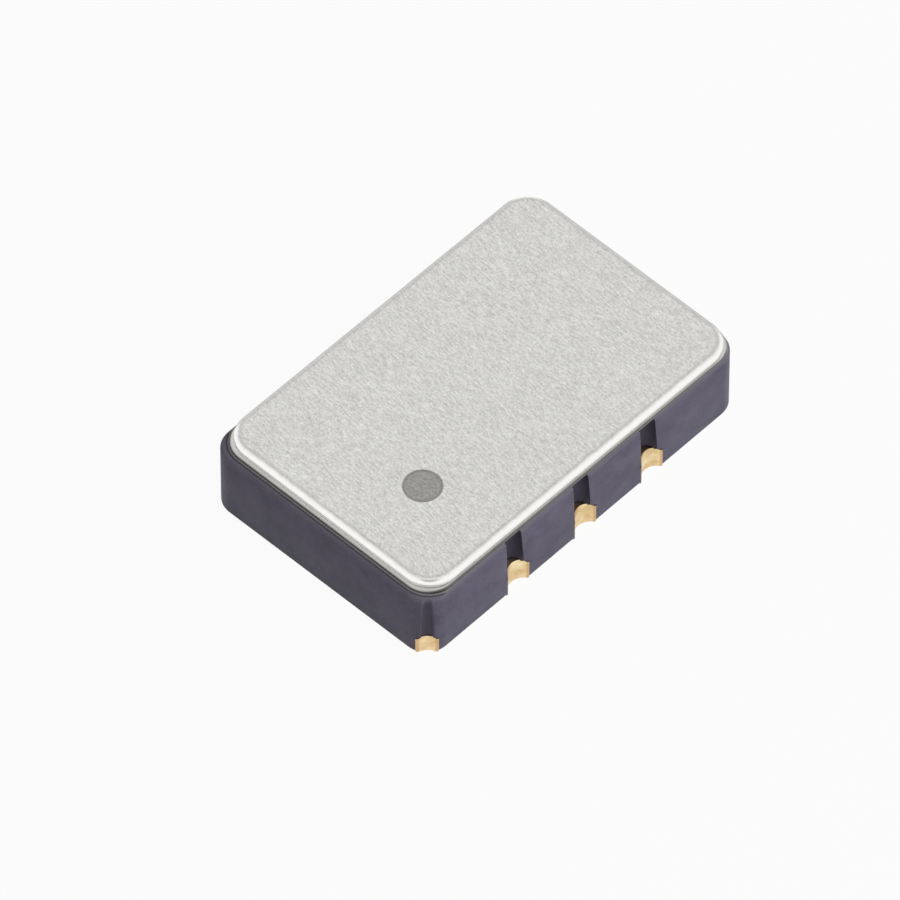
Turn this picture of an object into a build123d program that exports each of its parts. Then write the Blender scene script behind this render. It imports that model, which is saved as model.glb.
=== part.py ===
from build123d import *
import os
from collections import namedtuple
from math import sqrt

# Real-time clock module: a leadless ceramic package with a welded metal lid.
# X runs along the long side, Y along the short side, Z up through the lid.
# The origin is the middle of the plane of the solder soles.

# Ceramic body, fired from three layers
body_length = 3.75
body_width = 2.46
body_corner_radius = 0.22
floor_layer = 0.20
well_layer = 0.245
rim_layer = 0.245
rim_edge_break = 0.03
wall = 0.335
cavity_corner_radius = 0.14

# Chip well in the cavity's floor, and the ledge beside it that carries the crystal
ledge_length = 0.75
well_step = 0.06
well_corner_radius = 0.10

# Side castellations: the gilded notch ends in an arch at the layer step, the bare notch above it leans with
# the layers' error, and the ceramic's edge flares over the arch
notch_radius = 0.150
notch_centre_out = 0.063
arch_radius = 0.25
arch_rise = 0.03
upper_notch_radius = 0.102
upper_notch_rim_radius = 0.093
upper_notch_centre_in = 0.028
upper_notch_shift = 0.005
upper_notch_lean = 4.0
flare_radius = 0.102
flare_height = 0.07
flare_drop = 0.04
castellation_reach = 0.25
castellation_overrun = 0.02

# Index corner castellation, its centres set along the corner's diagonal; its bare notch narrows to the rim
corner_notch_radius = 0.19
corner_notch_out = 0.05
corner_arch_radius = 0.30
corner_arch_drop = 0.03
upper_corner_notch_radius = 0.083
upper_corner_rim_radius = 0.052
upper_corner_notch_in = 0.06
corner_flare_radius = 0.147
corner_flare_height = 0.06
corner_flare_drop = 0.02

# Terminals: a sole under the body, a gilded lining in the notch and a collar on the layer step
terminals_per_side = 5
terminal_pitch = 0.80
sole_width = 0.46
sole_length = 0.70
sole_thickness = 0.01
sole_margin = 0.03
lining_thickness = 0.016
collar_thickness = 0.01

# Seal ring and lid
ring_end_inset = 0.0345
ring_side_inset = 0.0235
ring_setback = 0.04
ring_corner_radius = 0.20
ring_height = 0.03
lid_end_inset = 0.0535
lid_side_inset = 0.038
lid_corner_radius = 0.21
lid_thickness = 0.08
lid_edge_radius = 0.05

# Small errors of the ring's and the lid's seat, as the braze and the weld left them
seal_turn = -0.3
ring_shift_x = 0.0275
ring_shift_y = -0.010
lid_shift_x = 0.033
lid_shift_y = -0.007

# Clock chip and the layer that holds it
chip_end_clearance = 0.32
chip_thickness = 0.15
chip_bond_thickness = 0.015
chip_bond_skirt = 0.03

# Bond fingers on the well's floor
finger_width = 0.14
finger_length = 0.22
finger_thickness = 0.01
finger_gap = 0.10
finger_wall_clearance = 0.025
finger_end_margin = 0.16

# Bond wires
wire_radius = 0.0125
wire_sides = 5
wire_bend_radius = 0.05
wire_rise = 0.09
wire_inset = 0.075
ball_radius = 0.032
ball_sides = 6
ball_height = 0.014

# Tuning-fork crystal
fork_thickness = 0.11
foot_length = 0.62
foot_width = 0.62
waist_length = 0.12
waist_depth = 0.06
tine_tip_clearance = 0.63
tine_width = 0.20
tine_gap = 0.14
tine_corner_break = 0.02
groove_tip_margin = 0.51
groove_width = 0.10
groove_depth = 0.035
foot_clearance = 0.08

# Crystal's seat on the ledge
crystal_pad_length = 0.36
crystal_pad_width = 0.26
crystal_pad_thickness = 0.01
crystal_pad_pitch = 0.34
adhesive_radius = 0.11
adhesive_neck_radius = 0.09
adhesive_height = 0.035

# Heights
floor_bottom = sole_thickness
floor_top = floor_bottom + floor_layer
ledge_top = floor_top + well_layer
body_top = ledge_top + rim_layer
ring_top = body_top + ring_height
chip_bottom = floor_top + chip_bond_thickness
chip_top = chip_bottom + chip_thickness
finger_top = floor_top + finger_thickness
crystal_pad_top = ledge_top + crystal_pad_thickness
fork_bottom = crystal_pad_top + adhesive_height
fork_top = fork_bottom + fork_thickness

# Cavity and well
cavity_length = body_length - 2 * wall
cavity_width = body_width - 2 * wall
well_length = cavity_length - ledge_length - well_step
well_width = cavity_width - 2 * well_step
well_middle = (well_step - ledge_length) / 2

# Chip, as large as the well leaves room for beside the fingers
chip_length = well_length - 2 * chip_end_clearance
chip_width = well_width - 2 * (finger_gap + finger_length + finger_wall_clearance)

# Terminal places, counted anticlockwise from the index corner as seen from above
column_shares = [i - (terminals_per_side - 1) / 2 for i in range(terminals_per_side)]
columns = [share * terminal_pitch for share in column_shares]
terminal_places = [(x, -1) for x in columns] + [(x, 1) for x in reversed(columns)]

# Castellations by terminal: one at the index corner, the others at the inner columns of both long sides
Castellation = namedtuple(
    "Castellation",
    "centre outward radius arch_top arch_radius"
    " upper_centre upper_radius rim_radius lean flare_radius flare_height flare_bottom",
)
corner_out = corner_notch_out / sqrt(2)
upper_corner_in = upper_corner_notch_in / sqrt(2)
corner_arch_top = floor_top - corner_arch_drop
castellations = {
    1: Castellation(
        centre=(-body_length / 2 - corner_out, -body_width / 2 - corner_out),
        outward=(-1, -1, 0),
        radius=corner_notch_radius,
        arch_top=corner_arch_top,
        arch_radius=corner_arch_radius,
        upper_centre=(upper_corner_in - body_length / 2, upper_corner_in - body_width / 2),
        upper_radius=upper_corner_notch_radius,
        rim_radius=upper_corner_rim_radius,
        lean=0,
        flare_radius=corner_flare_radius,
        flare_height=corner_flare_height,
        flare_bottom=corner_arch_top - corner_flare_drop,
    )
}
arch_top = floor_top + arch_rise
for number, (x, side) in enumerate(terminal_places, start=1):
    if number % terminals_per_side > 1:
        castellations[number] = Castellation(
            centre=(x, side * (body_width / 2 + notch_centre_out)),
            outward=(0, side, 0),
            radius=notch_radius,
            arch_top=arch_top,
            arch_radius=arch_radius,
            upper_centre=(x - upper_notch_shift, side * (body_width / 2 - upper_notch_centre_in)),
            upper_radius=upper_notch_radius,
            rim_radius=upper_notch_rim_radius,
            lean=upper_notch_lean,
            flare_radius=flare_radius,
            flare_height=flare_height,
            flare_bottom=arch_top - flare_drop,
        )


def arch_under(place, swell):
    """The barrel whose top is a castellation's arch, raised by a swell; its axis points out of the body."""
    with BuildPart() as arch:
        origin = (*place.centre, place.arch_top - place.arch_radius)
        with BuildSketch(Plane(origin=origin, z_dir=place.outward)):
            Circle(place.arch_radius + swell)
        extrude(amount=castellation_reach, both=True)
    return arch.part


def gilded_notch(place, radius):
    """A castellation's round notch of a given radius, from the soles up to its arch."""
    arch = arch_under(place, 0)
    with BuildPart() as notch:
        with BuildSketch():
            with Locations(place.centre):
                Circle(radius)
        extrude(amount=body_top)
        add(arch, mode=Mode.INTERSECT)
    return notch.part


def bare_notch(place):
    """A castellation's narrower notch from its arch up past the rim."""
    arch = arch_under(place, 0)
    with BuildPart() as notch:
        with Locations((*place.upper_centre, 0)):
            Cone(
                place.upper_radius,
                place.rim_radius,
                body_top + castellation_overrun,
                rotation=(0, -place.lean, 0),
                align=(Align.CENTER, Align.CENTER, Align.MIN),
            )
        add(arch, mode=Mode.SUBTRACT)
    return notch.part


def flare_over(place):
    """The cone by which the ceramic's edge flares over a castellation's arch."""
    with BuildPart() as flare:
        with Locations((*place.centre, place.flare_bottom)):
            Cone(
                place.radius,
                place.flare_radius,
                place.flare_height,
                align=(Align.CENTER, Align.CENTER, Align.MIN),
            )
    return flare.part


os.makedirs("parts", exist_ok=True)

# Ceramic base: one fired body with a stepped cavity and stepped castellations
castellation_cuts = []
for place in castellations.values():
    castellation_cuts += [gilded_notch(place, place.radius), bare_notch(place), flare_over(place)]
with BuildPart() as ceramic_base:
    with BuildSketch(Plane.XY.offset(floor_bottom)):
        RectangleRounded(body_length, body_width, body_corner_radius)
    extrude(amount=floor_layer + well_layer + rim_layer)
    chamfer(ceramic_base.faces().sort_by(Axis.Z)[-1].edges(), length=rim_edge_break)
    with BuildSketch(Plane.XY.offset(ledge_top)):
        RectangleRounded(cavity_length, cavity_width, cavity_corner_radius)
    extrude(amount=rim_layer, mode=Mode.SUBTRACT)
    with BuildSketch(Plane.XY.offset(floor_top)):
        with Locations((well_middle, 0)):
            RectangleRounded(well_length, well_width, well_corner_radius)
    extrude(amount=well_layer, mode=Mode.SUBTRACT)
    add(castellation_cuts, mode=Mode.SUBTRACT)
ceramic_base.part.label = "ceramic_base"
export_step(ceramic_base.part, "parts/ceramic_base.step")

# Seal ring on the rim
with BuildPart() as seal_ring:
    with BuildSketch(Plane.XY.offset(body_top)):
        with Locations((ring_shift_x, ring_shift_y)):
            RectangleRounded(
                body_length - 2 * ring_end_inset,
                body_width - 2 * ring_side_inset,
                ring_corner_radius,
                rotation=seal_turn,
            )
            RectangleRounded(
                cavity_length + 2 * ring_setback,
                cavity_width + 2 * ring_setback,
                cavity_corner_radius + ring_setback,
                rotation=seal_turn,
                mode=Mode.SUBTRACT,
            )
    extrude(amount=ring_height)
seal_ring.part.label = "seal_ring"
export_step(seal_ring.part, "parts/seal_ring.step")

# Lid with its edge rounded by the seam weld
with BuildPart() as lid:
    with BuildSketch(Plane.XY.offset(ring_top)):
        with Locations((lid_shift_x, lid_shift_y)):
            RectangleRounded(
                body_length - 2 * lid_end_inset,
                body_width - 2 * lid_side_inset,
                lid_corner_radius,
                rotation=seal_turn,
            )
    extrude(amount=lid_thickness)
    fillet(lid.faces().sort_by(Axis.Z)[-1].edges(), radius=lid_edge_radius)
lid.part.label = "lid"
export_step(lid.part, "parts/lid.step")

# Terminals: soles under the body, with the lining and the collar of each castellation
with BuildPart() as body_block:
    with BuildSketch():
        RectangleRounded(body_length, body_width, body_corner_radius)
    extrude(amount=body_top)

sole_middle = body_width / 2 - sole_margin - sole_length / 2
corner_sole_width = body_length / 2 - sole_margin + columns[0] + sole_width / 2
for number, (x, side) in enumerate(terminal_places, start=1):
    place = castellations.get(number)
    width = corner_sole_width if number == 1 else sole_width
    gilding = []
    if place:
        with BuildPart() as lining:
            add(gilded_notch(place, place.radius))
            add(body_block.part, mode=Mode.INTERSECT)
        collar_arch = arch_under(place, collar_thickness)
        with BuildPart() as collar:
            add(bare_notch(place))
            add(collar_arch, mode=Mode.INTERSECT)
            add(body_block.part, mode=Mode.INTERSECT)
        gilding = [lining.part, collar.part]
    with BuildPart() as terminal:
        with BuildSketch():
            with Locations((x + (sole_width - width) / 2, side * sole_middle)):
                Rectangle(width, sole_length)
            RectangleRounded(
                body_length - 2 * sole_margin,
                body_width - 2 * sole_margin,
                body_corner_radius - sole_margin,
                mode=Mode.INTERSECT,
            )
        extrude(amount=sole_thickness)
        if place:
            add(gilding)
            with BuildSketch():
                with Locations(place.centre):
                    Circle(place.radius - lining_thickness)
            extrude(amount=body_top, mode=Mode.SUBTRACT)
    terminal.part.label = f"terminal_{number}"
    export_step(terminal.part, f"parts/terminal_{number}.step")

# Clock chip on its bond layer
with BuildPart() as chip_bond_layer:
    with BuildSketch(Plane.XY.offset(floor_top)):
        with Locations((well_middle, 0)):
            Rectangle(chip_length + 2 * chip_bond_skirt, chip_width + 2 * chip_bond_skirt)
    extrude(amount=chip_bond_thickness)
chip_bond_layer.part.label = "chip_bond_layer"
export_step(chip_bond_layer.part, "parts/chip_bond_layer.step")

with BuildPart() as clock_chip:
    with BuildSketch(Plane.XY.offset(chip_bottom)):
        with Locations((well_middle, 0)):
            Rectangle(chip_length, chip_width)
    extrude(amount=chip_thickness)
clock_chip.part.label = "clock_chip"
export_step(clock_chip.part, "parts/clock_chip.step")

# Bond fingers beside the chip, and the wires that rise from the chip and come down on them
finger_middle = chip_width / 2 + finger_gap + finger_length / 2
wire_start = chip_width / 2 - wire_inset
wire_top = chip_top + ball_height + wire_rise
finger_pitch = (chip_length - 2 * finger_end_margin) / (terminals_per_side - 1)
finger_columns = [well_middle + share * finger_pitch for share in column_shares]
finger_places = [(x, -1) for x in finger_columns] + [(x, 1) for x in reversed(finger_columns)]
for number, (x, side) in enumerate(finger_places, start=1):
    with BuildPart() as bond_finger:
        with BuildSketch(Plane.XY.offset(floor_top)):
            with Locations((x, side * finger_middle)):
                Rectangle(finger_width, finger_length)
        extrude(amount=finger_thickness)
    bond_finger.part.label = f"bond_finger_{number}"
    export_step(bond_finger.part, f"parts/bond_finger_{number}.step")

    with BuildPart() as bond_wire:
        with BuildSketch(Plane.XY.offset(chip_top)):
            with Locations((x, side * wire_start)):
                RegularPolygon(ball_radius, ball_sides)
        extrude(amount=ball_height)
        with BuildLine():
            FilletPolyline(
                (x, side * wire_start, chip_top + ball_height),
                (x, side * wire_start, wire_top),
                (x, side * finger_middle, wire_top),
                (x, side * finger_middle, finger_top),
                radius=wire_bend_radius,
            )
        with BuildSketch(Plane.XY.offset(chip_top + ball_height)):
            with Locations((x, side * wire_start)):
                RegularPolygon(wire_radius, wire_sides)
        sweep()
    bond_wire.part.label = f"bond_wire_{number}"
    export_step(bond_wire.part, f"parts/bond_wire_{number}.step")

# Tuning-fork crystal: a foot over the ledge, a waist, and two grooved tines that reach over the chip
foot_end = cavity_length / 2 - foot_clearance
waist_start = foot_end - foot_length
tine_root = waist_start - waist_length
tine_tip = tine_tip_clearance - cavity_length / 2
groove_length = tine_root - tine_gap - tine_tip - groove_tip_margin
tine_middle = (tine_gap + tine_width) / 2
fork_half_width = tine_gap / 2 + tine_width
waist_half_width = fork_half_width - waist_depth
with BuildPart() as quartz_fork:
    with BuildSketch(Plane.XY.offset(fork_bottom)):
        with BuildLine():
            outline = Polyline(
                (foot_end, 0),
                (foot_end, foot_width / 2),
                (waist_start, foot_width / 2),
                (waist_start, waist_half_width),
                (tine_root, waist_half_width),
                (tine_root, fork_half_width),
                (tine_tip, fork_half_width),
                (tine_tip, tine_gap / 2),
                (tine_root - tine_gap / 2, tine_gap / 2),
            )
            RadiusArc(outline @ 1, (tine_root, 0), tine_gap / 2)
            mirror(about=Plane.XZ)
        make_face()
    extrude(amount=fork_thickness)
    tips = quartz_fork.edges().filter_by(Axis.Z).group_by(Axis.X)[0]
    chamfer(tips, length=tine_corner_break)
    groove_middle = tine_root - tine_gap - groove_length / 2
    for groove_plane, groove_cut in ((fork_bottom, groove_depth), (fork_top, -groove_depth)):
        with BuildSketch(Plane.XY.offset(groove_plane)):
            with Locations((groove_middle, -tine_middle), (groove_middle, tine_middle)):
                SlotOverall(groove_length, groove_width)
        extrude(amount=groove_cut, mode=Mode.SUBTRACT)
quartz_fork.part.label = "quartz_fork"
export_step(quartz_fork.part, "parts/quartz_fork.step")

# Crystal's gold pads on the ledge and the adhesive dots between them and the foot
seat_x = foot_end - foot_length / 2
for number, side in enumerate((-1, 1), start=1):
    seat_y = side * crystal_pad_pitch / 2
    with BuildPart() as crystal_pad:
        with BuildSketch(Plane.XY.offset(ledge_top)):
            with Locations((seat_x, seat_y)):
                Rectangle(crystal_pad_length, crystal_pad_width)
        extrude(amount=crystal_pad_thickness)
    crystal_pad.part.label = f"crystal_pad_{number}"
    export_step(crystal_pad.part, f"parts/crystal_pad_{number}.step")

    with BuildPart() as crystal_adhesive:
        with BuildSketch(Plane.XY.offset(crystal_pad_top)):
            with Locations((seat_x, seat_y)):
                Circle(adhesive_radius)
        with BuildSketch(Plane.XY.offset(fork_bottom)):
            with Locations((seat_x, seat_y)):
                Circle(adhesive_neck_radius)
        loft()
    crystal_adhesive.part.label = f"crystal_adhesive_{number}"
    export_step(crystal_adhesive.part, f"parts/crystal_adhesive_{number}.step")
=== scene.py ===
from collections import namedtuple
from math import cos, hypot, pi, radians, sin, sqrt

import bmesh
import bpy
from mathutils import Matrix, Vector


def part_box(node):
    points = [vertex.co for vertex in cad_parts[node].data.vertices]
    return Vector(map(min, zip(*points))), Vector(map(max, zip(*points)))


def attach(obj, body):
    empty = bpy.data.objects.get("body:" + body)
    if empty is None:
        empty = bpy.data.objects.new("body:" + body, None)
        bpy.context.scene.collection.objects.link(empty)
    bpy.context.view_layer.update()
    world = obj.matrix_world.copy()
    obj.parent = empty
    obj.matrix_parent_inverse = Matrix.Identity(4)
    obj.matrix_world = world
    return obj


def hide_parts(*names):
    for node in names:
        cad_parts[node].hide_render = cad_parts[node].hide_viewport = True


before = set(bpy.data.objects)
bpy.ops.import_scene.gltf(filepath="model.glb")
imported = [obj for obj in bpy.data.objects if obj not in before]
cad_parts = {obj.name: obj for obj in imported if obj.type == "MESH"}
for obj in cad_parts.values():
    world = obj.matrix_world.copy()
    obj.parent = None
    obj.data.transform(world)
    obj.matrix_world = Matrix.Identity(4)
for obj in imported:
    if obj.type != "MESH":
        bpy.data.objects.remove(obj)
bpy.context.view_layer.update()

# Sizes are in millimetres. A piece is modelled in millimetres and brought to metres when it is done,
# because the edit tools merge points that lie within a micron or so of each other.
MM = 0.001


def node_box(node):
    """Lowest and highest corner of a solid, in millimetres."""
    low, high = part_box(node)
    return low / MM, high / MM


# Places taken from the frame
body_low, body_high = node_box("ceramic_base")
ring_low, ring_high = node_box("seal_ring")
lid_low, lid_high = node_box("lid")
body_size = body_high - body_low
sole_top = body_low.z
floor_top = node_box("chip_bond_layer")[0].z
ledge_top = node_box("crystal_pad_1")[0].z
terminal_pitch = node_box("terminal_3")[0].x - node_box("terminal_2")[0].x
side_terminals = [2, 3, 4, 7, 8, 9]
plain_terminals = [5, 6, 10]

# Ceramic body
body_corner_radius = 0.22
rim_radius = 0.03
wall = 0.335
cavity_corner_radius = 0.14
ledge_length = 0.75
well_step = 0.06
well_corner_radius = 0.10
fired_edge = 0.006

# Side castellations: a gilded notch under an arch, a bare notch above that leans, and a flared edge
notch_radius = 0.150
notch_centre_out = 0.063
notch_half_width = sqrt(notch_radius ** 2 - notch_centre_out ** 2)
arch_radius = 0.25
arch_rise = 0.03
upper_notch_radius = 0.102
upper_notch_rim_radius = 0.093
upper_notch_centre_in = 0.028
upper_notch_shift = 0.005
upper_notch_lean = 4
flare_radius = 0.102
flare_height = 0.07
flare_drop = 0.04
flare_play = 0.0005

# Index corner's castellation, its centres on the corner's diagonal
corner_notch_radius = 0.19
corner_notch_out = 0.05
corner_notch_half_width = 0.095
corner_arch_radius = 0.30
corner_arch_drop = 0.03
upper_corner_notch_radius = 0.083
upper_corner_rim_radius = 0.052
upper_corner_notch_in = 0.06
corner_flare_radius = 0.147
corner_flare_height = 0.06
corner_flare_drop = 0.02

# Gold plating
lining_thickness = 0.016
collar_thickness = 0.01
sole_margin = 0.03
sole_corner_radius = 0.04

# Seal ring and lid, both set a little askew
ring_end_inset = 0.0345
ring_side_inset = 0.0235
ring_setback = 0.04
ring_corner_radius = 0.25
ring_edge_radius = 0.006
lid_end_inset = 0.0535
lid_side_inset = 0.038
lid_corner_radius = 0.27
lid_edge_radius = 0.05
lid_lower_radius = 0.014
seal_turn = -0.3
brush_turn = 5
ring_shift = Vector((0.0275, -0.010, 0))
lid_shift = Vector((0.033, -0.007, 0))
ring_half = Vector((body_size.x / 2 - ring_end_inset, body_size.y / 2 - ring_side_inset, 0))
lid_half = Vector((body_size.x / 2 - lid_end_inset, body_size.y / 2 - lid_side_inset, 0))

# Index dot on the lid
dot_place = Vector((-1.069, -0.383, 0))
dot_radius = 0.17
dot_depth = 0.004

# Patterns of the finishes: waves to the millimetre, and distances in from an edge or up from an arch
# at which a stripe starts, is full, fades and ends. The rolled edge carries a painted highlight,
# and the stripe over the arches is a painted shadow
stroke_waves = (58, 11, 1)
fleck_waves = (70, 38, 1)
rolled_edge_fade = (0.010, 0.052)
darker_line_edges = (0.022, 0.044, 0.050, 0.076)
arch_line_edges = (-0.01, 0.0, 0.014, 0.026)

# How finely round stretches are divided, and the angle in degrees below which facets look as one
corner_steps = 16
edge_steps = 6
peg_sides = 64
smooth_angle = 32

# Cutting tools: how far they overrun, reach and hang down, and how near two points are one
overrun = 0.02
castellation_reach = 0.25
tool_depth = 1
touch = 1e-4

# What tells a bare notch's arris from other edges: its rise, its run and how near it lies to the outline
arris_rise = 0.2
arris_run = 0.003
arris_play = 0.001


# Modelling helpers


def take_up(piece):
    """Selects one piece alone and makes it the active one."""
    bpy.ops.object.select_all(action="DESELECT")
    piece.select_set(True)
    bpy.context.view_layer.objects.active = piece


def round_edges(piece, radius, steps, wanted):
    """Rounds the edges of a piece for whose two ends wanted(first, second) holds."""
    take_up(piece)
    bpy.ops.object.mode_set(mode="EDIT")
    bpy.ops.mesh.select_mode(type="EDGE")
    bpy.ops.mesh.select_all(action="DESELECT")
    mesh = bmesh.from_edit_mesh(piece.data)
    for edge in mesh.edges:
        edge.select_set(wanted(edge.verts[0].co, edge.verts[1].co))
    bmesh.update_edit_mesh(piece.data)
    bpy.ops.mesh.bevel(offset=radius, segments=steps, profile=0.5, affect="EDGES")
    bpy.ops.object.mode_set(mode="OBJECT")


def upright(first, second):
    """True for an edge that stands straight up."""
    return abs(first.z - second.z) > touch


def level_at(height):
    """A test for edges that lie in the plane at one height."""
    return lambda first, second: abs(first.z - height) < touch and abs(second.z - height) < touch


def rounded_block(low, high, corner_radius):
    """A block between two corners, with its four upright edges rounded."""
    low, high = Vector(low), Vector(high)
    bpy.ops.object.select_all(action="DESELECT")
    bpy.ops.mesh.primitive_cube_add(size=1, location=(low + high) / 2, scale=high - low)
    bpy.ops.object.transform_apply(location=True, rotation=True, scale=True)
    block = bpy.context.object
    round_edges(block, corner_radius, corner_steps, upright)
    return block


def cone(foot, radius, top_radius, height, lean):
    """A round tool on a foot point; it may narrow, and lean to -X by some degrees, as it rises."""
    bpy.ops.object.select_all(action="DESELECT")
    turn = Matrix.Rotation(radians(-lean), 3, "Y")
    bpy.ops.mesh.primitive_cone_add(
        vertices=peg_sides,
        radius1=radius,
        radius2=top_radius,
        depth=height,
        location=Vector(foot) + turn @ Vector((0, 0, height / 2)),
        rotation=turn.to_euler(),
    )
    bpy.ops.object.transform_apply(location=True, rotation=True, scale=True)
    return bpy.context.object


def peg(centre, radius, bottom, top):
    """An upright round tool between two heights."""
    return cone((centre[0], centre[1], bottom), radius, radius, top - bottom, 0)


def combine(piece, tool, operation):
    """Cuts a tool from a piece, joins it on, or keeps what both share, and uses the tool up."""
    boolean = piece.modifiers.new("combine", "BOOLEAN")
    boolean.operation = operation
    boolean.solver = "EXACT"
    boolean.object = tool
    take_up(piece)
    bpy.ops.object.modifier_apply(modifier=boolean.name)
    bpy.data.objects.remove(tool)
    return piece


def complete(piece, name, node, finish):
    """Brings a piece to metres, gives it its finish and sets it in place of its solid."""
    take_up(piece)
    bpy.ops.object.mode_set(mode="EDIT")
    bpy.ops.mesh.select_all(action="SELECT")
    bpy.ops.mesh.remove_doubles(threshold=touch)
    bpy.ops.mesh.normals_make_consistent(inside=False)
    bpy.ops.object.mode_set(mode="OBJECT")
    piece.scale = (MM, MM, MM)
    bpy.ops.object.transform_apply(location=True, rotation=True, scale=True)
    bpy.ops.object.shade_smooth_by_angle(angle=radians(smooth_angle))
    piece.name = name
    piece.data.name = name
    piece.data.materials.clear()
    piece.data.materials.append(finish)
    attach(piece, "root")
    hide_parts(node)
    return piece


# Shader helpers


class Reading:
    """A shader value, so that sums on it are written as Python expressions."""

    def __init__(self, tree, socket):
        self.tree = tree
        self.socket = socket

    def calculate(self, operation, first, second):
        node = self.tree.nodes.new("ShaderNodeMath")
        node.operation = operation
        for slot, value in zip(node.inputs, (first, second)):
            feed(self.tree, slot, value)
        return Reading(self.tree, node.outputs[0])

    def __add__(self, other):
        return self.calculate("ADD", self, other)

    def __radd__(self, other):
        return self.calculate("ADD", other, self)

    def __sub__(self, other):
        return self.calculate("SUBTRACT", self, other)

    def __rsub__(self, other):
        return self.calculate("SUBTRACT", other, self)

    def __mul__(self, other):
        return self.calculate("MULTIPLY", self, other)

    def __rmul__(self, other):
        return self.calculate("MULTIPLY", other, self)

    def __truediv__(self, other):
        return self.calculate("DIVIDE", self, other)

    def __pow__(self, other):
        return self.calculate("POWER", self, other)

    def __abs__(self):
        return self.calculate("ABSOLUTE", self, 0)

    def at_least(self, other):
        return self.calculate("MAXIMUM", self, other)

    def at_most(self, other):
        return self.calculate("MINIMUM", self, other)


def feed(tree, slot, value):
    """Links a reading to a socket, or sets the socket to a plain value."""
    if isinstance(value, Reading):
        tree.links.new(value.socket, slot)
    else:
        slot.default_value = value


class Shading:
    """The nodes of a material or of the room."""

    def __init__(self, tree):
        self.tree = tree

    def node(self, kind, settings, sockets, output=0):
        """Adds a node with its settings first, then its sockets, and returns one of its outputs."""
        node = self.tree.nodes.new("ShaderNode" + kind)
        for key, value in settings.items():
            setattr(node, key, value)
        for key, value in sockets.items():
            feed(self.tree, node.inputs[key], value)
        return Reading(self.tree, node.outputs[output])

    def between(self, value, low, high):
        """0 below low, 1 above high and a smooth rise between them."""
        settings = {"interpolation_type": "SMOOTHSTEP"}
        return self.node("MapRange", settings, {"Value": value, "From Min": low, "From Max": high})

    def under(self, value, low, high):
        """1 below low, 0 above high and a smooth fall between them."""
        return 1 - self.between(value, low, high)

    def stripe(self, value, start, full, fade, end):
        """1 from full to fade, 0 before start and after end."""
        return self.between(value, start, full) * self.under(value, fade, end)

    def ray(self, kind):
        """1 for rays of one kind."""
        return self.node("LightPath", {}, {}, f"Is {kind} Ray")

    def seen(self):
        """1 for rays that end in the eye, straight or by way of gloss, and 0 for those that only light."""
        return self.ray("Camera") + self.ray("Glossy") + self.ray("Transmission")


class Finish(Shading):
    """A procedural material: a Principled shader and the nodes that vary it over the surface."""

    def __init__(self, name, constants):
        self.material = bpy.data.materials.new(name)
        self.material.use_nodes = True
        super().__init__(self.material.node_tree)
        self.shader = self.tree.nodes["Principled BSDF"]
        self.set(constants)
        objects = self.node("TexCoord", {}, {}, "Object")
        self.place = self.node("Mapping", {}, {"Vector": objects, "Scale": (1 / MM, 1 / MM, 1 / MM)})
        self.height = self.axis(self.place, "Z")

    def set(self, sockets):
        """Feeds the shader's own sockets."""
        for key, value in sockets.items():
            feed(self.tree, self.shader.inputs[key], value)

    def stretched(self, vector, scale):
        """A place stretched along each axis."""
        return self.node("Mapping", {}, {"Vector": vector, "Scale": scale})

    def noise(self, vector, scale, detail):
        """Noise from 0 to 1 about the middle, with so many waves to the millimetre."""
        sockets = {"Vector": vector, "Scale": scale, "Detail": detail, "Roughness": 0.6}
        return self.node("TexNoise", {}, sockets)

    def mix(self, share, first, second):
        """One colour going over into another."""
        settings = {"data_type": "RGBA"}
        return self.node("Mix", settings, {0: share, 6: first, 7: second}, 2)

    def axis(self, vector, name):
        """One coordinate of a vector."""
        return self.node("SeparateXYZ", {}, {"Vector": vector}, name)

    def inward(self, vector, half, radius):
        """How far a place lies inside a rounded outline about the middle."""
        past_x = abs(self.axis(vector, "X")) - (half.x - radius)
        past_y = abs(self.axis(vector, "Y")) - (half.y - radius)
        round_corner = (past_x.at_least(0) ** 2 + past_y.at_least(0) ** 2) ** 0.5
        return radius - round_corner - past_x.at_least(past_y).at_most(0)

    def seat(self, shift):
        """The place as the seal ring or the lid has it, set askew by a shift and the seal's turn."""
        askew = {"Vector": self.place, "Location": shift, "Rotation": (0, 0, radians(seal_turn))}
        return self.node("Mapping", {"vector_type": "TEXTURE"}, askew)

    def arch_line(self):
        """1 in a thin line just above the arches of the gilded notches, where a shadow is painted."""
        x, y = self.axis(self.place, "X"), self.axis(self.place, "Y")
        sideways = self.node("Math", {"operation": "PINGPONG"}, {0: x, 1: terminal_pitch / 2})
        side = self.over_arch(sideways, floor_top + arch_rise, arch_radius, notch_half_width)
        diagonal = abs(x - y - body_low.x + body_low.y) / sqrt(2)
        corner_top = floor_top - corner_arch_drop
        corner = self.over_arch(diagonal, corner_top, corner_arch_radius, corner_notch_half_width)
        corner_tip = body_low.x + body_low.y
        near_corner = self.under(x + y, corner_tip, corner_tip + 0.6)
        return (side * self.castellated(x)).at_least(corner * near_corner)

    def castellated(self, x):
        """1 along the middle of the long sides, where the castellations are."""
        return self.under(abs(x), terminal_pitch * 1.4, terminal_pitch * 1.5)

    def over_arch(self, sideways, top, radius, reach):
        """1 in a thin line above an arch, for a place so far to the side of the arch's middle."""
        arch = (radius ** 2 - sideways * sideways).at_least(0) ** 0.5 + (top - radius)
        line = self.stripe(self.height - arch, *arch_line_edges)
        return line * self.under(sideways, reach - 0.01, reach + 0.01)

    def relief(self, height, depth):
        """Raises the surface's look by a height of at most so many millimetres."""
        bump = self.node("Bump", {}, {"Height": height, "Distance": depth * MM, "Strength": 1.0})
        self.set({"Normal": bump})


# Finishes


def colour(red, green, blue):
    """An opaque colour."""
    return (red, green, blue, 1)


def grey(level):
    """A neutral colour."""
    return colour(level, level, level)


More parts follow.
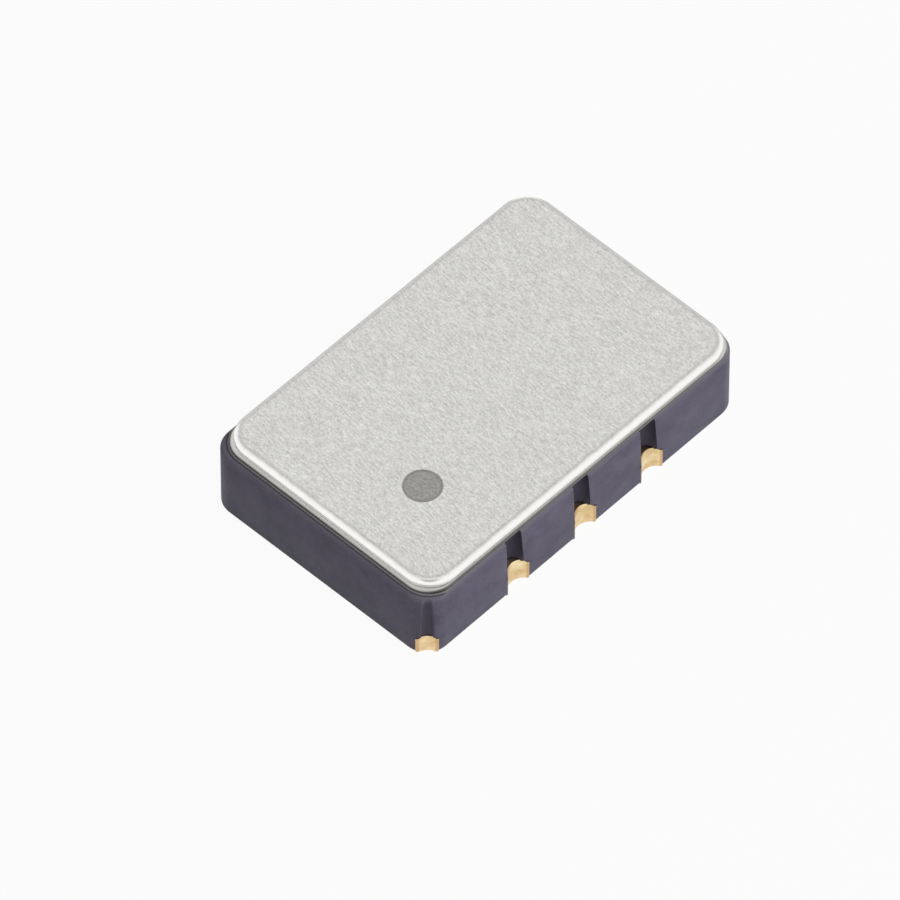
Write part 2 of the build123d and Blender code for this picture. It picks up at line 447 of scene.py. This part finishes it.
def brushed_nickel():
    """The lid: brush strokes on satin nickel, a smooth edge where the weld rolled it with a painted
    highlight on the near sides and painted shade on the far ones, painted shade low on the long walls, a
    darker line where the edge starts, and the index dot.
    """
    dark_stroke, light_stroke = colour(0.455, 0.45, 0.435), colour(0.89, 0.885, 0.865)
    edge_highlight, far_edge_shade = colour(0.965, 0.955, 0.93), colour(0.50, 0.495, 0.48)
    darker_nickel, foot_shade = colour(0.36, 0.35, 0.33), colour(0.20, 0.19, 0.175)
    dark_etch, light_etch = colour(0.30, 0.292, 0.276), colour(0.46, 0.447, 0.424)
    etch_rim = colour(0.22, 0.21, 0.20)

    finish = Finish("brushed_nickel", {"Metallic": 1.0})
    lid_place = finish.seat(lid_shift)
    lid_x, lid_y = finish.axis(lid_place, "X"), finish.axis(lid_place, "Y")
    uneven = (finish.noise(lid_place, 7, 3) - 0.5) * 0.02
    inward = finish.inward(lid_place, lid_half, lid_corner_radius) + uneven
    rolled = finish.under(inward, *rolled_edge_fade)
    darker_line = finish.stripe(inward, *darker_line_edges)
    far = finish.between((lid_x - lid_half.x).at_least(lid_y - lid_half.y), -0.06, -0.02)
    long_side = finish.under(abs(lid_x), lid_half.x - 0.15, lid_half.x - 0.05)
    foot = long_side * finish.under(finish.height, lid_low.z, lid_low.z + 0.024)

    along = finish.node("Mapping", {}, {"Vector": lid_place, "Rotation": (0, 0, radians(brush_turn))})
    strokes = finish.noise(finish.stretched(along, stroke_waves), 1.0, 3)
    flecks = finish.noise(finish.stretched(along, fleck_waves), 1.0, 2)
    clouds = finish.noise(lid_place, 3.5, 3)
    speckle = finish.between(flecks, 0.3, 0.7)
    tone = finish.between(strokes, 0.25, 0.75) * 0.5 + speckle * 0.5
    tone = tone * 0.85 + clouds * 0.15
    brushed = finish.mix(tone, dark_stroke, light_stroke)
    # A darker line where the rolled edge starts
    brushed = finish.mix(darker_line * 0.35, brushed, darker_nickel)
    # Painted highlight on the rolled edge along the near sides, and painted shade on it along the far sides
    nickel = finish.mix(rolled, brushed, finish.mix(far, edge_highlight, far_edge_shade))
    nickel = finish.mix(foot * 0.15, nickel, foot_shade)

    reach = ((lid_x - dot_place.x) ** 2 + (lid_y - dot_place.y) ** 2) ** 0.5
    etched = finish.under(reach, dot_radius - 0.008, dot_radius + 0.004)
    rim = finish.between(reach, dot_radius - 0.04, dot_radius)
    mark = finish.mix(speckle, dark_etch, light_etch)
    mark = finish.mix(rim * 0.5, mark, etch_rim)
    finish.set({"Base Color": finish.mix(etched, nickel, mark)})
    side_wall = finish.under(finish.height, lid_low.z + 0.016, lid_low.z + 0.05)
    rough = (0.34 + tone * 0.12) * (1 - rolled) + rolled * (0.2 + side_wall * 0.4)
    finish.set({"Roughness": rough + etched * 0.2})
    finish.relief(strokes * (1 - rolled * 0.9), 0.0012)
    return finish.material


def weld_metal():
    """The seal ring: a lip beside the lid with a painted highlight, braze outside it painted dark as shade,
    and painted light at the short ends.
    """
    shaded_braze_dark, shaded_braze_light = colour(0.13, 0.125, 0.12), colour(0.22, 0.21, 0.20)
    dark_lip_highlight, light_lip_highlight = colour(0.52, 0.515, 0.50), colour(0.72, 0.71, 0.69)
    end_highlight = colour(0.66, 0.65, 0.63)

    finish = Finish("weld_metal", {"Metallic": 1.0})
    stain_and_shadow = finish.noise(finish.place, 9, 3)
    inward = finish.inward(finish.seat(ring_shift), ring_half, ring_corner_radius)
    upper = finish.between(finish.height, ring_high.z - 0.010, ring_high.z - 0.002)
    lip = upper * finish.between(inward, 0.006, 0.014)
    # Painted light: the ring is paler at its short ends
    ends = finish.between(abs(finish.axis(finish.place, "X")), ring_half.x - 0.15, ring_half.x - 0.05)
    # Painted shade: the braze on the ring's side is darker than its top
    braze = finish.mix(stain_and_shadow, shaded_braze_dark, shaded_braze_light)
    braze = finish.mix(ends * 0.5, braze, end_highlight)
    # Painted highlight on the lip along the ring's top
    finish.set({"Base Color": finish.mix(lip, braze, finish.mix(stain_and_shadow, dark_lip_highlight, light_lip_highlight))})
    finish.set({"Roughness": 0.28 + stain_and_shadow * 0.16})
    return finish.material


def fired_ceramic():
    """The body: dark violet-grey alumina, clouded and speckled, with a brazed top, painted shade in the
    notches, painted shadows over the arches and beside the ring, and painted light on the faces' tops and
    rim.
    """
    dark_ceramic, light_ceramic = colour(0.113, 0.103, 0.150), colour(0.181, 0.166, 0.230)
    pale_speck, rim_highlight = colour(0.30, 0.29, 0.32), colour(0.27, 0.25, 0.30)
    notch_shade, arch_shade = colour(0.071, 0.060, 0.087), colour(0.012, 0.007, 0.007)
    ring_shadow_tone, braze_metal = colour(0.02, 0.016, 0.016), colour(0.36, 0.35, 0.34)

    finish = Finish("fired_ceramic", {"Specular IOR Level": 0.1})
    clouds = finish.noise(finish.place, 4, 4)
    grain = finish.noise(finish.place, 60, 3)
    specks = finish.between(finish.noise(finish.place, 26, 1), 0.72, 0.78)
    beyond_ring = 0 - finish.inward(finish.seat(ring_shift), ring_half, ring_corner_radius)
    top = finish.between(finish.height, body_high.z - 0.01, body_high.z)
    braze = top * finish.under(beyond_ring, 0.015, 0.020)
    # Painted shadow of the seal ring: a dark line on the top just beyond the braze
    stain_and_shadow = top * finish.stripe(beyond_ring, 0.015, 0.020, 0.024, 0.036)
    # Painted shade in the notches, deep inside the outline and below the rim
    deep = finish.between(finish.inward(finish.place, body_size / 2, body_corner_radius), 0.004, 0.02)
    sheltered = deep * finish.under(finish.height, body_high.z - 0.07, body_high.z - 0.04)
    # Painted light: the faces lighten toward their tops
    lit_top_band = finish.between(finish.height, body_high.z - 0.12, body_high.z - 0.03)
    # Painted highlight along the foot of the rim's rounding
    rim_foot = body_high.z - rim_radius
    rim = finish.between(finish.height, rim_foot - 0.006, rim_foot + 0.006)
    tone = clouds * 0.55 + grain * 0.45 + lit_top_band * 0.05
    body = finish.mix(finish.between(tone, 0.3, 0.7), dark_ceramic, light_ceramic)
    body = finish.mix(specks * 0.4, body, pale_speck)
    body = finish.mix(sheltered * 0.6, body, notch_shade)
    body = finish.mix(finish.arch_line() * 0.85, body, arch_shade)
    body = finish.mix(rim * 0.4, body, rim_highlight)
    body = finish.mix(stain_and_shadow * 0.7, body, ring_shadow_tone)
    finish.set({"Base Color": finish.mix(braze * 0.9, body, braze_metal)})
    finish.set({"Roughness": 0.46 + grain * 0.16})
    finish.relief(grain, 0.0016)
    return finish.material


def gold_plate():
    """The terminals: pale stained gold over nickel, redder at the lips, with painted shade on the -X lips
    of the side ones.
    """
    stained_gold, clean_gold = colour(0.68, 0.48, 0.22), colour(0.98, 0.83, 0.52)
    low_gold, lip_gold = colour(0.80, 0.54, 0.31), colour(0.58, 0.35, 0.16)
    shaded_lip = colour(0.10, 0.08, 0.09)

    finish = Finish("gold_plate", {"Metallic": 1.0})
    stain_and_shadow = finish.noise(finish.place, 7, 3)
    grain = finish.noise(finish.place, 70, 2)
    low = finish.under(finish.height, 0, floor_top)
    lips = finish.under(finish.inward(finish.place, body_size / 2, body_corner_radius), 0.004, 0.014)
    x = finish.axis(finish.place, "X")
    one_pitch = {0: x, 1: terminal_pitch / 2, 2: -terminal_pitch / 2}
    sideways = finish.node("Math", {"operation": "WRAP"}, one_pitch)
    # Painted shade on the lip at the -X side of each side notch
    bare = finish.under(sideways, 0.015 - notch_half_width, 0.025 - notch_half_width)
    bare = bare * finish.castellated(x)
    gilt = finish.mix(finish.between(stain_and_shadow, 0.3, 0.7), stained_gold, clean_gold)
    gilt = finish.mix(low * 0.3, gilt, low_gold)
    gilt = finish.mix(lips * 0.7, gilt, lip_gold)
    gilt = finish.mix(lips * bare * 0.9, gilt, shaded_lip)
    finish.set({"Base Color": gilt, "Roughness": 0.26 + stain_and_shadow * 0.2})
    finish.relief(grain, 0.0012)
    return finish.material


def plain_finish(name, dark, light, waves, metallic):
    """A simple finish for a piece inside the package: two tones and an even grain."""
    finish = Finish(name, {"Metallic": metallic})
    grain = finish.noise(finish.place, waves, 3)
    finish.set({"Base Color": finish.mix(grain, dark, light), "Roughness": 0.25 + grain * 0.3})
    finish.relief(grain, 0.0008)
    return finish.material


# Castellations

Castellation = namedtuple(
    "Castellation",
    "centre turn radius arch_top arch_radius upper_centre upper_radius rim_radius lean"
    " flare_radius flare_height flare_bottom",
)


def side_castellation(number):
    """The castellation of a terminal in a long side."""
    low, high = node_box(f"terminal_{number}")
    middle = (low.x + high.x) / 2
    side = 1 if low.y + high.y > 0 else -1
    arch_top = floor_top + arch_rise
    return Castellation(
        centre=(middle, side * (body_high.y + notch_centre_out)),
        turn=0,
        radius=notch_radius,
        arch_top=arch_top,
        arch_radius=arch_radius,
        upper_centre=(middle - upper_notch_shift, side * (body_high.y - upper_notch_centre_in)),
        upper_radius=upper_notch_radius,
        rim_radius=upper_notch_rim_radius,
        lean=upper_notch_lean,
        flare_radius=flare_radius,
        flare_height=flare_height,
        flare_bottom=arch_top - flare_drop,
    )


def corner_castellation():
    """The castellation of terminal 1, in the index corner."""
    out = corner_notch_out / sqrt(2)
    inward = upper_corner_notch_in / sqrt(2)
    arch_top = floor_top - corner_arch_drop
    return Castellation(
        centre=(body_low.x - out, body_low.y - out),
        turn=-45,
        radius=corner_notch_radius,
        arch_top=arch_top,
        arch_radius=corner_arch_radius,
        upper_centre=(body_low.x + inward, body_low.y + inward),
        upper_radius=upper_corner_notch_radius,
        rim_radius=upper_corner_rim_radius,
        lean=0,
        flare_radius=corner_flare_radius,
        flare_height=corner_flare_height,
        flare_bottom=arch_top - corner_flare_drop,
    )


def barrel(place, swell):
    """The lying round whose top is a castellation's arch, swollen by a little if wanted."""
    bpy.ops.object.select_all(action="DESELECT")
    bpy.ops.mesh.primitive_cylinder_add(
        vertices=peg_sides * 2,
        radius=place.arch_radius + swell,
        depth=castellation_reach * 2,
        location=(*place.centre, place.arch_top - place.arch_radius),
        rotation=(radians(90), 0, radians(place.turn)),
    )
    bpy.ops.object.transform_apply(location=True, rotation=True, scale=True)
    return bpy.context.object


def arched_notch(place):
    """The round notch that ends under the arch."""
    return combine(peg(place.centre, place.radius, -overrun, body_high.z), barrel(place, 0), "INTERSECT")


def layer_step(place):
    """What is under the arch beside the notch: the step that the bare notch stands on."""
    bore = peg(place.centre, place.radius, -tool_depth, body_high.z)
    return combine(barrel(place, 0), bore, "DIFFERENCE")


def upper_cone(place):
    """The narrower round that runs up through the rim."""
    height = body_high.z + overrun
    return cone((*place.upper_centre, 0), place.upper_radius, place.rim_radius, height, place.lean)


def bare_notch(place):
    """The bare notch above the step."""
    return combine(upper_cone(place), layer_step(place), "DIFFERENCE")


def flare(place):
    """The cone by which the ceramic's edge opens over the arch, with its foot clear of the notch's wall."""
    foot = (*place.centre, place.flare_bottom)
    return cone(foot, place.radius - flare_play, place.flare_radius, place.flare_height, 0)


# Pieces


def body_outline(bottom, inset):
    """The body's outline as a block from some height up to the rim, drawn in by an inset."""
    low = (body_low.x + inset, body_low.y + inset, bottom)
    high = (body_high.x - inset, body_high.y - inset, body_high.z)
    return rounded_block(low, high, body_corner_radius - inset)


def notch_arris(first, second):
    """True for the slanting edges in which a bare notch meets the body's outside."""
    run = second - first
    if abs(run.z) < arris_rise or hypot(run.x, run.y) < arris_run:
        return False
    return all(abs(outline_gap(point)) < arris_play for point in (first, second))


def outline_gap(point):
    """How far a point lies outside the body's rounded outline."""
    past_x = abs(point.x) - body_high.x + body_corner_radius
    past_y = abs(point.y) - body_high.y + body_corner_radius
    return hypot(max(past_x, 0), max(past_y, 0)) + min(max(past_x, past_y), 0) - body_corner_radius


def fired_body(finish):
    """The ceramic base: a block with a softened rim, stepped castellations and a stepped cavity."""
    body = body_outline(body_low.z, 0)
    round_edges(body, rim_radius, edge_steps, level_at(body_high.z))
    round_edges(body, fired_edge, 2, level_at(body_low.z))
    for place in castellations.values():
        combine(body, arched_notch(place), "DIFFERENCE")
        combine(body, bare_notch(place), "DIFFERENCE")
        combine(body, flare(place), "DIFFERENCE")
    cavity_low = (body_low.x + wall, body_low.y + wall, ledge_top)
    cavity_high = (body_high.x - wall, body_high.y - wall, body_high.z + overrun)
    combine(body, rounded_block(cavity_low, cavity_high, cavity_corner_radius), "DIFFERENCE")
    well_low = (cavity_low[0] + well_step, cavity_low[1] + well_step, floor_top)
    well_high = (cavity_high[0] - ledge_length, cavity_high[1] - well_step, ledge_top + overrun)
    combine(body, rounded_block(well_low, well_high, well_corner_radius), "DIFFERENCE")
    round_edges(body, fired_edge, 2, notch_arris)
    return complete(body, "fired_body", "ceramic_base", finish)


def seated(piece, shift):
    """Sets a piece of the seal askew, as the braze or the weld left it."""
    take_up(piece)
    piece.rotation_euler.z = radians(seal_turn)
    piece.location = shift
    bpy.ops.object.transform_apply(location=True, rotation=True, scale=True)


def weld_ring(finish):
    """The seal ring, with its outer edge broken."""
    low, high = Vector((0, 0, ring_low.z)) - ring_half, Vector((0, 0, ring_high.z)) + ring_half
    ring = rounded_block(low, high, ring_corner_radius)
    round_edges(ring, ring_edge_radius, 3, level_at(ring_high.z))
    opening = wall - ring_setback
    inner = Vector((body_size.x / 2 - opening, body_size.y / 2 - opening, overrun))
    inner_low, inner_high = Vector((0, 0, ring_low.z)) - inner, Vector((0, 0, ring_high.z)) + inner
    combine(ring, rounded_block(inner_low, inner_high, cavity_corner_radius + ring_setback), "DIFFERENCE")
    seated(ring, ring_shift)
    return complete(ring, "weld_ring", "seal_ring", finish)


def brushed_lid(finish):
    """The lid: a plate with a rolled edge and the index dot etched in it."""
    low, high = Vector((0, 0, lid_low.z)) - lid_half, Vector((0, 0, lid_high.z)) + lid_half
    plate = rounded_block(low, high, lid_corner_radius)
    round_edges(plate, lid_edge_radius, edge_steps * 2, level_at(lid_high.z))
    round_edges(plate, lid_lower_radius, 3, level_at(lid_low.z))
    dot = peg(dot_place, dot_radius, lid_high.z - dot_depth, lid_high.z + overrun)
    combine(plate, dot, "DIFFERENCE")
    seated(plate, lid_shift)
    return complete(plate, "brushed_lid", "lid", finish)


def gilded_sole(low, high):
    """A sole under the body, held within the body's outline."""
    sole = rounded_block(low, high, sole_corner_radius)
    return combine(sole, body_outline(-overrun, sole_margin), "INTERSECT")


def gilded_notch(place, sole_low, sole_high):
    """A castellated terminal: the notch's lining, the collar on the layer step and the sole."""
    terminal = arched_notch(place)
    collar = combine(upper_cone(place), barrel(place, collar_thickness), "INTERSECT")
    combine(collar, layer_step(place), "DIFFERENCE")
    combine(terminal, collar, "UNION")
    combine(terminal, body_outline(0, 0), "INTERSECT")
    combine(terminal, gilded_sole(sole_low, sole_high), "UNION")
    bore = peg(place.centre, place.radius - lining_thickness, -overrun, body_high.z)
    return combine(terminal, bore, "DIFFERENCE")


def copy_of(piece, step, mirrored):
    """A copy of a piece with its own mesh, moved along X and, if wanted, mirrored across the long axis."""
    twin = piece.copy()
    twin.data = piece.data.copy()
    bpy.context.collection.objects.link(twin)
    take_up(twin)
    twin.location.x = step
    twin.scale.y = -1 if mirrored else 1
    bpy.ops.object.transform_apply(location=True, rotation=True, scale=True)
    return twin


def gilded_terminals(finish):
    """All ten terminals: one at the index corner, six in the sides and three plain soles."""
    first_high = node_box("terminal_1")[1]
    sole_low = (body_low.x + sole_margin, body_low.y + sole_margin, 0)
    corner = gilded_notch(castellations[1], sole_low, (first_high.x, first_high.y, sole_top))
    complete(corner, "gilded_terminal_1", "terminal_1", finish)

    low, high = node_box("terminal_2")
    first = castellations[2]
    sole_low = (low.x, body_low.y + sole_margin, 0)
    side = gilded_notch(first, sole_low, (high.x, high.y, sole_top))
    for number in side_terminals:
        place = castellations[number]
        twin = copy_of(side, place.centre[0] - first.centre[0], place.centre[1] > 0)
        complete(twin, f"gilded_terminal_{number}", f"terminal_{number}", finish)
    bpy.data.objects.remove(side)

    for number in plain_terminals:
        sole = gilded_sole(*node_box(f"terminal_{number}"))
        complete(sole, f"gilded_terminal_{number}", f"terminal_{number}", finish)


castellations = {number: side_castellation(number) for number in side_terminals}
castellations[1] = corner_castellation()

gold = gold_plate()
fired_body(fired_ceramic())
weld_ring(weld_metal())
brushed_lid(brushed_nickel())
gilded_terminals(gold)

# Pieces inside the package keep their solids and get their own finishes
wire = plain_finish("drawn_gold_wire", colour(0.86, 0.62, 0.26), colour(0.93, 0.74, 0.38), 40, 1)
silicon = plain_finish("polished_silicon", colour(0.045, 0.05, 0.07), colour(0.10, 0.11, 0.14), 14, 1)
quartz = plain_finish("etched_quartz", colour(0.70, 0.74, 0.76), colour(0.84, 0.87, 0.88), 8, 0)
glue = plain_finish("silver_glue", colour(0.42, 0.42, 0.41), colour(0.60, 0.60, 0.58), 30, 0)
paste = plain_finish("silver_paste", colour(0.46, 0.46, 0.45), colour(0.64, 0.64, 0.62), 30, 0)
inner_finishes = {
    "bond_finger": gold,
    "bond_wire": wire,
    "chip_bond": glue,
    "clock_chip": silicon,
    "crystal_adhesive": paste,
    "crystal_pad": gold,
    "quartz_fork": quartz,
}
for node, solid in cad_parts.items():
    for start, finish in inner_finishes.items():
        if node.startswith(start):
            solid.data.materials.clear()
            solid.data.materials.append(finish)

# Studio: camera, floor, a soft lamp and a white room; angles are in degrees
scene = bpy.context.scene
view_azimuth = -46.62
view_elevation = 51.81
view_distance = 127.7
view_lens = 620.4
sensor_width = 36
aim_right = -0.2108
aim_up = -0.0070
lamp_distance = 100
floor_size = 600
lens_core_angle = 16
lens_edge_angle = 26
lens_darkness = 0.5


def direction(azimuth, elevation):
    """The direction of a point on the sky: azimuth 0 is straight in front of the long side."""
    a, e = radians(azimuth), radians(elevation)
    return Vector((sin(a) * cos(e), -cos(a) * cos(e), sin(e)))


def facing(back):
    """A turn that looks along -back, upright."""
    right = Vector((0, 0, 1)).cross(back).normalized()
    return Matrix((right, back.cross(right), back)).transposed()


def set_camera():
    """A long lens at the viewing angle."""
    data = bpy.data.cameras.new("view")
    camera = bpy.data.objects.new("view", data)
    scene.collection.objects.link(camera)
    back = direction(view_azimuth, view_elevation)
    turn = facing(back)
    right, up = turn.col[0], turn.col[1]
    aim = right * aim_right + up * aim_up
    camera.matrix_world = Matrix.Translation((aim + back * view_distance) * MM) @ turn.to_4x4()
    data.lens = view_lens
    data.sensor_width = sensor_width
    data.clip_start = view_distance / 10 * MM
    scene.camera = camera


def softbox(name, azimuth, elevation, width, height, glow):
    """A lamp with an even face, turned to the object and left out of its gloss."""
    data = bpy.data.lights.new(name, "AREA")
    data.shape = "RECTANGLE"
    data.size = width * MM
    data.size_y = height * MM
    data.energy = glow * pi * data.size * data.size_y
    lamp = bpy.data.objects.new(name, data)
    lamp.visible_glossy = False
    back = direction(azimuth, elevation)
    lamp.matrix_world = Matrix.Translation(back * lamp_distance * MM) @ facing(back).to_4x4()
    scene.collection.objects.link(lamp)


def white_room(level):
    """An even room that lights at one level and looks white to the eye; gloss also finds the dark lens."""
    world = bpy.data.worlds.new("white_room")
    world.use_nodes = True
    scene.world = world
    room = Shading(world.node_tree)
    toward = room.node("TexCoord", {}, {}, "Generated")
    lens_way = {0: toward, 1: direction(view_azimuth, view_elevation)}
    nearness = room.node("VectorMath", {"operation": "DOT_PRODUCT"}, lens_way, "Value")
    lens = room.between(nearness, cos(radians(lens_edge_angle)), cos(radians(lens_core_angle)))
    background = world.node_tree.nodes["Background"]
    background.inputs["Color"].default_value = grey(1)
    strength = level + room.seen() * (1 - level) - room.ray("Glossy") * lens * lens_darkness
    feed(world.node_tree, background.inputs["Strength"], strength)


def pale_floor(white_share):
    """A white floor just under the soles; part of its white is its own, so the shadow on it stays faint."""
    bpy.ops.object.select_all(action="DESELECT")
    bpy.ops.mesh.primitive_plane_add(size=floor_size * MM, location=(0, 0, -touch * MM))
    floor = bpy.context.object
    floor.name = "pale_floor"
    finish = Finish("pale_floor", {"Base Color": grey(0.95), "Roughness": 0.9, "Specular IOR Level": 0.0})
    paper = Reading(finish.tree, finish.shader.outputs[0])
    white = finish.node("Emission", {}, {"Color": grey(1), "Strength": 1.0})
    surface = finish.node("MixShader", {}, {0: finish.seen() * white_share, 1: paper, 2: white})
    feed(finish.tree, finish.tree.nodes["Material Output"].inputs["Surface"], surface)
    floor.data.materials.append(finish.material)


set_camera()
pale_floor(white_share=0.94)
white_room(level=0.21)
softbox("right_softbox", azimuth=33, elevation=38, width=200, height=170, glow=1.0)
scene.view_settings.view_transform = "Standard"
